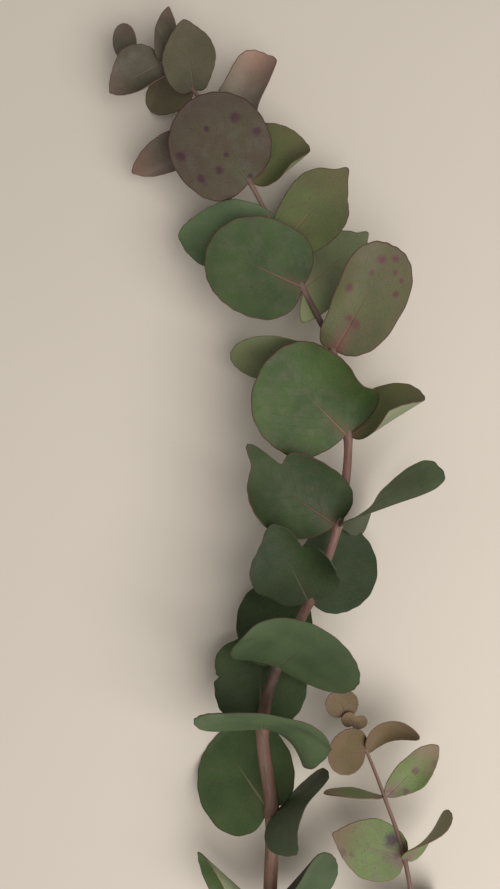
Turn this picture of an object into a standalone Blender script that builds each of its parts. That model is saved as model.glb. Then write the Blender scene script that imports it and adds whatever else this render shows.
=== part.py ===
"""A cut eucalyptus branch lying on a flat surface, in metres, +Z up.

The main stem runs along +Y to a tip that bows over to -X. Round stalkless leaves sit on it in
opposite pairs, each pair about a quarter turn from the last, and a slender side shoot leaves the
stem low down. Every leaf is a thin round blade, bent, folded and twisted from its flat outline.
Lengths in the tables are in millimetres and angles in degrees.
"""

import math
from collections import namedtuple

import bmesh
import bpy
from mathutils import Matrix, Vector

MM = 0.001

BLADE_THICKNESS = 0.6
OUTLINE_SIDES = 20
SMALL_OUTLINE_SIDES = 12
SMALL_LEAF = 18
BLADE_RINGS = (0.4, 0.75, 1.0)
PRESS_DEPTH = 1.5
MIDRIB_STEPS = 24
STEM_SIDES = 12
SHOOT_SIDES = 8
NODE_SWELLING = 0.22
ROOT_DEPTH = 0.8
TIP_POINT_SPREAD = 9
BASE_NOTCH_SPREAD = 18

# A stem joint: where the stem's centre is and how thick it is there.
Joint = namedtuple("Joint", "name x y z radius")

MAIN_STEM = (
    Joint("cut", 14.0, -327.0, 3.4, 3.5),
    Joint("fork", 12.7, -284.0, 12.0, 3.4),
    Joint("n00", 9.0, -211.4, 24.0, 3.2),
    Joint("n01", 9.9, -165.4, 26.0, 3.0),
    Joint("n02", 5.6, -127.6, 26.0, 2.8),
    Joint("n03", 12.1, -99.9, 27.0, 2.5),
    Joint("n04", 26.4, -70.5, 28.0, 2.2),
    Joint("n05", 39.2, -36.5, 28.0, 2.0),
    Joint("n06", 44.0, 3.4, 27.0, 1.8),
    Joint("n07", 37.6, 41.2, 26.0, 1.5),
    Joint("n08", 23.9, 70.6, 25.0, 1.35),
    Joint("n09", 14.5, 90.5, 23.5, 1.2),
    Joint("n10", 0.0, 119.1, 22.0, 1.05),
    Joint("n11", -13.7, 141.3, 20.0, 0.95),
    Joint("n12", -25.8, 162.2, 18.0, 0.85),
    Joint("n13", -40.2, 175.9, 16.5, 0.75),
    Joint("n14", -57.6, 178.6, 15.0, 0.6),
    Joint("apex", -61.5, 180.5, 14.5, 0.4),
)

SIDE_SHOOT = (
    Joint("foot", 17.6, -280.0, 13.0, 1.5),
    Joint("rise", 32.3, -261.6, 18.0, 1.3),
    Joint("turn", 56.8, -238.0, 23.0, 1.2),
    Joint("s00", 71.6, -216.2, 26.0, 1.1),
    Joint("s01", 69.4, -186.0, 28.0, 1.0),
    Joint("s02", 60.2, -157.8, 28.0, 0.8),
    Joint("s03", 52.2, -137.5, 26.0, 0.7),
    Joint("s04", 46.6, -126.9, 24.0, 0.6),
    Joint("s05", 42.6, -123.5, 23.0, 0.5),
    Joint("bud", 41.0, -121.5, 22.5, 0.3),
)

# How one leaf stands and bends. heading is the way the midrib points seen from above, 0 along
# +X and 90 along +Y; rise is its slope above level; roll turns the blade about the midrib.
# bend curls the midrib towards the blade's upper side over its length, hook adds to that near
# the tip, and twist turns the tip further than the base. left and right give, for each half of
# the blade, how far it curls up from midrib to edge, at the base, the middle and the tip.
# base is how full the outline is on the left and right of its foot and tip how full it is at
# its end (2 is round), point is how far the tip is drawn out, and notch how deep the
# heart-shaped foot is cut. seat is 1 where the leaf grows from the top of the stem and 0 where
# it grows from the side that it points to. lobes are places where the outline swells or draws
# in, and flicks places where the margin is bent up or down, each with its direction from the
# blade's middle (0 at the tip, positive to the right), its amount and how wide it is.
LEAF_FIELDS = (
    "node heading rise roll length width bend hook twist left right base tip point notch seat "
    "lobes flicks"
)
Leaf = namedtuple(
    "Leaf",
    LEAF_FIELDS,
    defaults=(0, 0, 0, (10, 10, 10), (10, 10, 10), (2.3, 2.3), 2.0, 0.0, 0.06, 0.0, (), ()),
)

MAIN_LEAVES = (
    Leaf("n00", 136, 5, -55, 43, 26, left=(60, 70, 60), right=(50, 80, 80), tip=1.5),
    Leaf("n00", 50, 5, 35, 38, 36, left=(60, 70, 70)),
    Leaf("n01", 133, -36, 0, 49, 49, notch=0.2),
    Leaf(
        "n01",
        *(50, 50, 80, 37, 50),
        left=(60, 100, 120),
        right=(0, 0, 20),
        lobes=((-40, -0.22, 30), (-105, -0.15, 40), (60, -0.08, 30)),
    ),
    Leaf(
        "n02",
        *(92, 64, 0, 44, 62),
        left=(5, 5, 5),
        right=(110, 45, 15),
        tip=1.6,
        seat=1,
        lobes=((30, -0.25, 25), (72, 0.04, 20), (125, 0.08, 25), (-85, -0.06, 40)),
        flicks=((-65, -5.5, 40),),
    ),
    Leaf("n02", 92, -22, 0, 43, 43, lobes=((-54, 0.08, 16),)),
    Leaf("n03", 55, 48, 8, 46, 60, left=(60, 50, 20), right=(10, 15, 20), seat=1),
    Leaf("n03", 90, -30, 0, 42, 35),
    Leaf(
        "n04",
        *(116, 25, 0, 43, 46),
        left=(40, 40, 20),
        right=(20, 80, 100),
        base=(1.5, 3.2),
        tip=1.6,
        seat=1,
        lobes=((0, 0.15, 12), (40, -0.38, 16), (118, -0.18, 20), (-30, -0.06, 20), (-110, -0.22, 35)),
    ),
    Leaf("n04", 49, -20, 0, 42, 38, base=(2.0, 2.0)),
    Leaf(
        "n05",
        *(146, 18, 0, 51, 41),
        hook=10,
        left=(60, 45, 60),
        right=(10, 30, 30),
        base=(1.9, 2.8),
        seat=1,
        lobes=((16, 0.42, 9), (36, -0.25, 10), (-115, -0.16, 35), (-155, -0.12, 25)),
    ),
    Leaf(
        "n05",
        *(31, 5, -100, 53, 34),
        twist=40,
        left=(-50, 0, 0),
        tip=3.0,
        lobes=((-118, 0.35, 22),),
    ),
    Leaf(
        "n06",
        *(136, 15, 0, 53, 55),
        right=(0, 75, 55, 30),
        base=(2.3, 6.0),
        seat=1,
        lobes=((74, -0.12, 30), (118, -0.15, 22), (-110, -0.04, 35), (-156, -0.08, 30)),
    ),
    Leaf("n06", 32, 0, -50, 39, 40, left=(0, 0, 0), right=(80, 90, 90), base=(2.3, 1.3)),
    Leaf(
        "n07",
        *(61, 20, 0, 55, 35),
        left=(0, 70, 20),
        base=(2.2, 2.5),
        tip=2.4,
        seat=1,
        lobes=((-118, -0.26, 24), (150, -0.08, 30)),
    ),
    Leaf("n07", 182, -10, -55, 48, 35, base=(1.5, 1.5), lobes=((115, -0.25, 35),)),
    Leaf("n08", 158, 12, 0, 48, 45, base=(2.3, 3.0), seat=1),
    Leaf(
        "n08",
        *(44, -38, 0, 58, 30),
        notch=0.2,
        base=(2.3, 3.5),
        point=0.15,
        lobes=((150, 0.22, 22),),
        flicks=((150, -2, 25),),
    ),
    Leaf(
        "n09",
        *(50, -5, 0, 44, 33),
        right=(20, 10, 10),
        point=0.2,
        lobes=((40, -0.12, 20), (-110, -0.18, 40)),
    ),
    Leaf("n09", 173, -5, 0, 49, 36, left=(30, 50, 40), right=(0, 30, -10), tip=1.5),
    Leaf("n10", 134, 15, 0, 45, 46, right=(5, 20, 15), base=(2.3, 2.6), seat=1),
    Leaf(
        "n10",
        *(40, 0, -10, 32, 40),
        left=(0, 0, 0),
        right=(100, 110, 110),
        base=(2.3, 1.3),
        lobes=((100, -0.15, 40),),
    ),
    Leaf(
        "n11",
        *(61, 0, -20, 44, 28),
        left=(100, 100, 90),
        right=(0, 50, 60),
        base=(2.3, 3.0),
        tip=3.0,
        lobes=((-90, -0.22, 50),),
    ),
    Leaf(
        "n11",
        *(200, -10, -50, 46, 21),
        left=(100, 100, 100),
        tip=1.5,
        lobes=((90, 0.25, 45), (-90, -0.3, 50)),
    ),
    Leaf(
        "n12",
        *(98, 15, 0, 33, 25),
        tip=1.35,
        notch=0.15,
        seat=1,
        lobes=((60, 0.1, 25), (130, -0.15, 30)),
    ),
    Leaf("n12", 163, -42, 0, 34, 23),
    Leaf("n13", 83, 5, 50, 26, 15, tip=1.3),
    Leaf(
        "n13",
        *(212, 5, 0, 30, 28),
        left=(90, 90, 60),
        right=(40, 60, 60),
        tip=1.2,
        seat=1,
        lobes=((-60, -0.25, 45),),
    ),
    Leaf("n14", 92, 5, 0, 16, 11),
    Leaf("n14", 280, -10, 60, 9, 6),
)

SIDE_LEAVES = (
    Leaf("s00", 138, 5, 0, 21, 20),
    Leaf("s00", -30, -60, 0, 33, 28),
    Leaf("s01", 162, -5, 0, 34, 28, tip=1.4, point=0.05),
    Leaf("s01", 48, 5, 40, 31, 22, twist=60),
    Leaf("s02", 176, 0, 100, 28, 22, base=(1.4, 1.4)),
    Leaf(
        "s02",
        *(46, 5, 0, 35, 17),
        left=(60, 50, 20),
        right=(60, 50, 30),
        base=(1.3, 1.3),
        tip=1.5,
    ),
    Leaf("s03", 13, 5, 45, 30, 20, bend=120),
    Leaf("s03", 172, 28, 0, 21, 21),
    Leaf("s04", 125, 5, 0, 7, 7),
    Leaf("s04", 25, 5, 0, 7, 6),
    Leaf("s05", 100, 0, 0, 13, 15),
    Leaf("s05", -60, -20, 60, 6, 5),
)

LEAF_GREEN = (0.13, 0.18, 0.09)
SHOOT_GREEN = (0.22, 0.22, 0.12)
LEAF_ROUGHNESS = 0.6


def clear_scene():
    for obj in list(bpy.data.objects):
        bpy.data.objects.remove(obj, do_unlink=True)


def mix(a, b, share):
    return a + (b - a) * share


def clamp(value, low=0.0, high=1.0):
    return min(high, max(low, value))


def make_material(name, colour, roughness):
    material = bpy.data.materials.new(name)
    material.use_nodes = True
    shader = material.node_tree.nodes["Principled BSDF"]
    shader.inputs["Base Color"].default_value = (*colour, 1.0)
    shader.inputs["Roughness"].default_value = roughness
    shader.inputs["Metallic"].default_value = 0.0
    return material


def stem_curve(joints, share, index):
    """The point between joints index and index + 1, on a smooth curve through all of them."""
    places = [Vector((j.x, j.y, j.z)) for j in joints]
    start, end = places[index], places[index + 1]
    before = places[index - 1] if index else start * 2 - end
    after = places[index + 2] if index + 2 < len(places) else end * 2 - start
    span = (end - start).length
    leave = (end - before).normalized() * span
    arrive = (after - start).normalized() * span
    t, t2, t3 = share, share * share, share**3
    return (
        start * (2 * t3 - 3 * t2 + 1)
        + leave * (t3 - 2 * t2 + t)
        + end * (3 * t2 - 2 * t3)
        + arrive * (t3 - t2)
    )


def stem_direction(joints, index):
    step = 0.02
    if index + 1 < len(joints):
        return (stem_curve(joints, step, index) - stem_curve(joints, 0, index)).normalized()
    return (stem_curve(joints, 1, index - 1) - stem_curve(joints, 1 - step, index - 1)).normalized()


def stem_rings(joints, shares):
    """Centres and radii along a stem, a little thicker where the leaves sit."""
    rings = []
    for index in range(len(joints) - 1):
        for share in shares:
            radius = mix(joints[index].radius, joints[index + 1].radius, share)
            near = 1 - min(share, 1 - share) / 0.08
            swelling = NODE_SWELLING * clamp(near) if 0 < index or share > 0.5 else 0
            if index == len(joints) - 2 and share > 0.5:
                swelling = 0
            rings.append((stem_curve(joints, share, index), radius * (1 + swelling)))
    rings.append((stem_curve(joints, 1, len(joints) - 2), joints[-1].radius))
    return rings


def tube(bm, rings, sides):
    """A closed tube through the rings, with its cross-sections turned as little as possible."""
    centres = [centre for centre, _ in rings]
    side = None
    loops = []
    for i, (centre, radius) in enumerate(rings):
        ahead = centres[min(i + 1, len(centres) - 1)] - centres[max(i - 1, 0)]
        ahead.normalize()
        side = ahead.orthogonal() if side is None else side - ahead * side.dot(ahead)
        side.normalize()
        other = ahead.cross(side)
        loop = []
        for k in range(sides):
            angle = math.tau * k / sides
            offset = side * math.cos(angle) + other * math.sin(angle)
            loop.append(bm.verts.new((centre + offset * radius) * MM))
        loops.append(loop)
    for lower, upper in zip(loops, loops[1:]):
        for k in range(sides):
            n = (k + 1) % sides
            bm.faces.new((lower[k], lower[n], upper[n], upper[k]))
    bm.faces.new(loops[0][::-1])
    bm.faces.new(loops[-1])


def nearness(angle, direction, spread):
    """1 where an angle in radians meets a direction in degrees, falling to 0 around it."""
    off = math.degrees(angle) - direction
    off = (off + 180) % 360 - 180
    return math.exp(-((off / spread) ** 2))


def outline_reach(leaf, angle):
    """How far the flat outline reaches from the blade's middle, 1 being a plain ellipse."""
    foot = leaf.base[1] if math.sin(angle) > 0 else leaf.base[0]
    fullness = leaf.tip if math.cos(angle) > 0 else foot
    along = abs(math.cos(angle)) ** fullness
    across = abs(math.sin(angle)) ** fullness
    reach = (along + across) ** (-1 / fullness)
    off_tip = abs(math.degrees(math.atan2(math.sin(angle), math.cos(angle))))
    reach *= 1 + leaf.point * math.exp(-((off_tip / TIP_POINT_SPREAD) ** 2))
    reach *= 1 - leaf.notch * math.exp(-(((180 - off_tip) / BASE_NOTCH_SPREAD) ** 2))
    for direction, gain, spread in leaf.lobes:
        reach *= 1 + gain * nearness(angle, direction, spread)
    return reach


def flat_point(leaf, ring, angle):
    """A point of the flat blade: how far along the midrib from the stem, and how far across."""
    reach = ring * outline_reach(leaf, angle)
    along = leaf.length / 2 * (1 - leaf.notch + reach * math.cos(angle))
    return along, leaf.width / 2 * reach * math.sin(angle)


def leaf_axes(leaf):
    """The midrib's chord, the blade's upper side and its right-hand side, as unit vectors."""
    heading, rise, roll = (math.radians(a) for a in (leaf.heading, leaf.rise, leaf.roll))
    flat = math.cos(rise)
    chord = Vector((flat * math.cos(heading), flat * math.sin(heading), math.sin(rise)))
    level_side = Vector((math.sin(heading), -math.cos(heading), 0))
    up = Matrix.Rotation(roll, 3, chord) @ level_side.cross(chord)
    return chord, up, chord.cross(up)


def midrib_angle(leaf, share):
    """The midrib's slope against its chord, in radians, at a share of its length."""
    late = clamp((share - 0.55) / 0.45)
    return math.radians(leaf.bend * (share - 0.5) + leaf.hook * late * late * (3 - 2 * late))


def midrib_place(leaf, along):
    """How far along the chord, and how far above it, a length of midrib reaches."""
    steps = max(1, round(MIDRIB_STEPS * abs(along) / leaf.length))
    ahead = above = 0.0
    for i in range(steps):
        angle = midrib_angle(leaf, along * (i + 0.5) / steps / leaf.length)
        ahead += math.cos(angle) * along / steps
        above += math.sin(angle) * along / steps
    return ahead, above


def pressed(height):
    """A blade that would reach below the surface lies flat on it instead."""
    lift = height - BLADE_THICKNESS / 2
    if lift > PRESS_DEPTH:
        return height
    if lift < -PRESS_DEPTH:
        return BLADE_THICKNESS / 2
    return BLADE_THICKNESS / 2 + (lift + PRESS_DEPTH) ** 2 / (4 * PRESS_DEPTH)


def curl_at(values, share):
    """A curl between the ones given for the base, the middle and the tip of a half blade."""
    place = clamp(share) * (len(values) - 1)
    index = min(int(place), len(values) - 2)
    ease = (1 - math.cos(math.pi * (place - index))) / 2
    return math.radians(mix(values[index], values[index + 1], ease))


def flick_lift(leaf, along, across):
    """How far the flicks raise a point of the blade: most at the margin, nothing inside."""
    ahead = along / (leaf.length / 2) - 1 + leaf.notch
    right = across / (leaf.width / 2)
    lift = 0.0
    for direction, height, spread in leaf.flicks:
        lift += height * math.hypot(ahead, right) ** 4 * nearness(
            math.atan2(right, ahead), direction, spread
        )
    return lift


def blade_point(leaf, base, axes, along, across):
    """Where a point of the flat blade goes once the leaf is bent, curled and twisted."""
    chord, up, side = axes
    share = along / leaf.length
    ahead, above = midrib_place(leaf, along)
    slope = midrib_angle(leaf, share)
    ahead_here = chord * math.cos(slope) + up * math.sin(slope)
    turn = Matrix.Rotation(math.radians(leaf.twist) * share, 3, ahead_here)
    up_here = turn @ (up * math.cos(slope) - chord * math.sin(slope))
    side_here = turn @ side
    curl = curl_at(leaf.right if across > 0 else leaf.left, share)
    angle = curl * abs(across) / (leaf.width / 2)
    if abs(angle) < 1e-4:
        out, lift = abs(across), 0.0
    else:
        out = abs(across) * math.sin(angle) / angle
        lift = abs(across) * (1 - math.cos(angle)) / angle
    lift += flick_lift(leaf, along, across)
    place = base + chord * ahead + up * above
    place += side_here * math.copysign(out, across) + up_here * lift
    place.z = pressed(place.z)
    return place


def blade_normal(leaf, base, axes, along, across):
    step = 0.2
    ahead = blade_point(leaf, base, axes, along + step, across)
    ahead -= blade_point(leaf, base, axes, along - step, across)
    right = blade_point(leaf, base, axes, along, across + step)
    right -= blade_point(leaf, base, axes, along, across - step)
    return right.cross(ahead).normalized()


def leaf_base(leaf, joints):
    """Where the midrib starts: just inside the stem."""
    index = [j.name for j in joints].index(leaf.node)
    joint = joints[index]
    chord = leaf_axes(leaf)[0]
    stem = stem_direction(joints, index)
    top = Vector((0, 0, 1))
    outward = (chord - stem * chord.dot(stem)).normalized()
    outward = outward.lerp((top - stem * top.dot(stem)).normalized(), leaf.seat).normalized()
    depth = max(0.2 * joint.radius, joint.radius - ROOT_DEPTH)
    return Vector((joint.x, joint.y, joint.z)) + outward * depth


def leaf_mesh(leaf, joints):
    """A blade of even thickness over the leaf's middle surface, its two faces split alike."""
    axes = leaf_axes(leaf)
    base = leaf_base(leaf, joints)
    sides = SMALL_OUTLINE_SIDES if leaf.length < SMALL_LEAF else OUTLINE_SIDES
    flat = [(leaf.length / 2 * (1 - leaf.notch), 0.0)]
    for ring in BLADE_RINGS:
        for k in range(sides):
            flat.append(flat_point(leaf, ring, math.tau * k / sides))
    bm = bmesh.new()
    faces = []
    for way in (1, -1):
        verts = []
        for along, across in flat:
            place = blade_point(leaf, base, axes, along, across)
            normal = blade_normal(leaf, base, axes, along, across)
            verts.append(bm.verts.new((place + normal * way * BLADE_THICKNESS / 2) * MM))
        faces.append(verts)
        for k in range(sides):
            n = (k + 1) % sides
            add_triangle(bm, verts[0], verts[1 + n], verts[1 + k], way)
            for ring in range(len(BLADE_RINGS) - 1):
                inner = 1 + ring * sides
                outer = inner + sides
                add_triangle(bm, verts[inner + k], verts[inner + n], verts[outer + n], way)
                add_triangle(bm, verts[inner + k], verts[outer + n], verts[outer + k], way)
    upper, lower = faces
    rim = 1 + sides * (len(BLADE_RINGS) - 1)
    for k in range(sides):
        n = (k + 1) % sides
        add_triangle(bm, upper[rim + k], upper[rim + n], lower[rim + n], 1)
        add_triangle(bm, upper[rim + k], lower[rim + n], lower[rim + k], 1)
    bmesh.ops.recalc_face_normals(bm, faces=bm.faces)
    return finish_mesh(bm, "leaf")


def add_triangle(bm, a, b, c, way):
    bm.faces.new((a, b, c) if way > 0 else (c, b, a))


def finish_mesh(bm, name):
    mesh = bpy.data.meshes.new(name)
    bm.to_mesh(mesh)
    bm.free()
    return mesh


def stem_mesh(joints, sides):
    bm = bmesh.new()
    tube(bm, stem_rings(joints, (0, 0.08, 0.5, 0.92)), sides)
    bmesh.ops.triangulate(bm, faces=[f for f in bm.faces if len(f.verts) > 4])
    bmesh.ops.recalc_face_normals(bm, faces=bm.faces)
    return finish_mesh(bm, "stem")


def add_leafy_stem(name, joints, sides, leaves, colour):
    """One grown piece: a stem and its leaves, joined by a Boolean union."""
    stem = bpy.data.objects.new(name, stem_mesh(joints, sides))
    bpy.context.scene.collection.objects.link(stem)
    blades = bpy.data.collections.new(name + "_blades")
    bpy.context.scene.collection.children.link(blades)
    for leaf in leaves:
        blades.objects.link(bpy.data.objects.new("blade", leaf_mesh(leaf, joints)))
    union = stem.modifiers.new("union", "BOOLEAN")
    union.operation = "UNION"
    union.operand_type = "COLLECTION"
    union.collection = blades
    evaluated = stem.evaluated_get(bpy.context.evaluated_depsgraph_get())
    grown = bpy.data.meshes.new_from_object(evaluated)
    stem.modifiers.clear()
    stem.data = grown
    for blade in list(blades.objects):
        bpy.data.objects.remove(blade, do_unlink=True)
    bpy.data.collections.remove(blades)
    grown.materials.clear()
    grown.materials.append(make_material(name, colour, LEAF_ROUGHNESS))
    grown.shade_smooth()
    grown.set_sharp_from_angle(angle=math.radians(50))


def centre_on_origin():
    """Moves everything so that the middle of the whole branch's box is over the origin."""
    bpy.context.view_layer.update()
    corners = [obj.matrix_world @ Vector(c) for obj in bpy.data.objects for c in obj.bound_box]
    low = Vector(min(c[i] for c in corners) for i in range(3))
    high = Vector(max(c[i] for c in corners) for i in range(3))
    shift = Vector((-(low.x + high.x) / 2, -(low.y + high.y) / 2, -low.z))
    for obj in bpy.data.objects:
        obj.data.transform(Matrix.Translation(shift))


def main():
    clear_scene()
    add_leafy_stem("leafy_main_stem", MAIN_STEM, STEM_SIDES, MAIN_LEAVES, LEAF_GREEN)
    add_leafy_stem("leafy_side_shoot", SIDE_SHOOT, SHOOT_SIDES, SIDE_LEAVES, SHOOT_GREEN)
    centre_on_origin()


main()
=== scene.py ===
"""The looks of a cut eucalyptus branch lying on a pale surface, seen from straight above.

Every leaf is made again from the same lengths and angles as its solid, with a finer outline, a
waved margin and a rounded edge, and both stems as fine tubes with bark. Lengths in the tables
are in millimetres, measured in the frame of the stem joints, and angles in degrees.
"""

import math
from collections import namedtuple

import bpy
import numpy as np
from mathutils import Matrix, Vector


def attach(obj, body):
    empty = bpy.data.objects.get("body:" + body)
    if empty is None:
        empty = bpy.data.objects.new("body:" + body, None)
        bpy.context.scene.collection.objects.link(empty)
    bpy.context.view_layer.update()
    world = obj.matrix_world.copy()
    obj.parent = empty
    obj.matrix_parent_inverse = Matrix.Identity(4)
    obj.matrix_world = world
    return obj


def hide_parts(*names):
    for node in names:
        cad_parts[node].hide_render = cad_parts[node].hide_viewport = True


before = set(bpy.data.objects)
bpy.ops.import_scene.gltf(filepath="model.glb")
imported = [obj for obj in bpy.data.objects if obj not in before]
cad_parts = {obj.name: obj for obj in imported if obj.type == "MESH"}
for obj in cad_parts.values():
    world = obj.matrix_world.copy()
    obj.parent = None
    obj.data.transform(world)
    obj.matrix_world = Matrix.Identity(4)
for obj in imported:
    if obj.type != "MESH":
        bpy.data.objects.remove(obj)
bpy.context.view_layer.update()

MM = 0.001
UP = np.array((0.0, 0.0, 1.0))

# How the photograph was taken: straight down, from this high above the stem.
CAMERA_ABOVE_STEM = 400
STEM_HEIGHT = 26
LENS = 36
SENSOR = 36

# How the solid's leaves are made: half their thickness, how near the surface they start to press
# flat, the steps that follow a midrib, where its hook starts, how many degrees a pointed tip and
# a notched base take up, and how deep a midrib starts inside its stem, though never nearer the
# stem's middle than the last share of its radius.
SOLID_HALF_THICKNESS = 0.3
PRESS_DEPTH = 1.5
MIDRIB_STEPS = 240
HOOK_START = 0.55
TIP_POINT_SPREAD = 9
BASE_NOTCH_SPREAD = 18
ROOT_DEPTH = 0.8
LEAST_ROOT = 0.2

# The fine leaf: points round its outline, rings from its middle to its edge, and thickness.
OUTLINE_SIDES = 112
RINGS = (0.07, 0.16, 0.26, 0.36, 0.46, 0.56, 0.65, 0.73, 0.8, 0.86, 0.91, 0.95, 0.975, 0.99, 0.997, 1)
HALF_THICKNESS = 0.27

# What makes an outline uneven, in shares of its reach. It is even this close to the base, in
# degrees, and fully uneven where the fade ends.
SLOW_UNEVENNESS = 0.024
FINE_UNEVENNESS = 0.006
FINE_TEETH = 19
EVEN_AT_BASE = 10
EVEN_FADE = 30
BITE_RAGGEDNESS = 0.5
BITE_TEETH = 37

# A margin doesn't wave below the first height above the surface, and waves fully where the fade
# ends. Its waves are drawn apart from those of the outline, so many at a time.
STILL_HEIGHT = 2
STILL_FADE = 4
WAVE_COUNTS = (3, 5, 7)
WAVE_SEED = 500

# How far apart the leaves lie in the random patterns of their paint, for each step of the seed.
PATTERN_SHIFT = 40.0

# The fine stem. The swelling at a joint is a share of the radius, and its spread a share of the
# way to the next joint. A rib says how many go round, how high they are in shares of the radius,
# and over how many millimetres of stem they wind by one radian. The cut ends have inner rings
# at these shares of the radius.
STEM_SIDES = 28
STEM_STEPS = 14
NODE_SWELLING = 0.22
SWELLING_SPREAD = 0.06
RIBS = ((2, 0.03, 23), (5, 0.02, -11))
CUT_RINGS = (0.9, 0.72, 0.5, 0.25)
BARK_SLOT = 0
CUT_SLOT = 1

Joint = namedtuple("Joint", "name x y z radius")

MAIN_STEM = (
    Joint("cut", 14.0, -327.0, 3.4, 3.5),
    Joint("fork", 12.7, -284.0, 12.0, 3.4),
    Joint("n00", 9.0, -211.4, 24.0, 3.2),
    Joint("n01", 9.9, -165.4, 26.0, 3.0),
    Joint("n02", 5.6, -127.6, 26.0, 2.8),
    Joint("n03", 12.1, -99.9, 27.0, 2.5),
    Joint("n04", 26.4, -70.5, 28.0, 2.2),
    Joint("n05", 39.2, -36.5, 28.0, 2.0),
    Joint("n06", 44.0, 3.4, 27.0, 1.8),
    Joint("n07", 37.6, 41.2, 26.0, 1.5),
    Joint("n08", 23.9, 70.6, 25.0, 1.35),
    Joint("n09", 14.5, 90.5, 23.5, 1.2),
    Joint("n10", 0.0, 119.1, 22.0, 1.05),
    Joint("n11", -13.7, 141.3, 20.0, 0.95),
    Joint("n12", -25.8, 162.2, 18.0, 0.85),
    Joint("n13", -40.2, 175.9, 16.5, 0.75),
    Joint("n14", -57.6, 178.6, 15.0, 0.6),
    Joint("apex", -61.5, 180.5, 14.5, 0.4),
)

SIDE_SHOOT = (
    Joint("foot", 17.6, -280.0, 13.0, 1.5),
    Joint("rise", 32.3, -261.6, 18.0, 1.3),
    Joint("turn", 56.8, -238.0, 23.0, 1.2),
    Joint("s00", 71.6, -216.2, 26.0, 1.1),
    Joint("s01", 69.4, -186.0, 28.0, 1.0),
    Joint("s02", 60.2, -157.8, 28.0, 0.8),
    Joint("s03", 52.2, -137.5, 26.0, 0.7),
    Joint("s04", 46.6, -126.9, 24.0, 0.6),
    Joint("s05", 42.6, -123.5, 23.0, 0.5),
    Joint("bud", 41.0, -121.5, 22.5, 0.3),
)

# heading, rise, roll, length, width, bend, hook, twist, left, right, base, tip, point, notch,
# seat, lobes and flicks stand a leaf exactly as the solid's do.
LEAF_FIELDS = (
    "node heading rise roll length width bend hook twist left right base tip point notch seat "
    "lobes flicks"
)
Leaf = namedtuple(
    "Leaf",
    LEAF_FIELDS,
    defaults=(0, 0, 0, (10, 10, 10), (10, 10, 10), (2.3, 2.3), 2.0, 0.0, 0.06, 0.0, (), ()),
)

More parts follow.
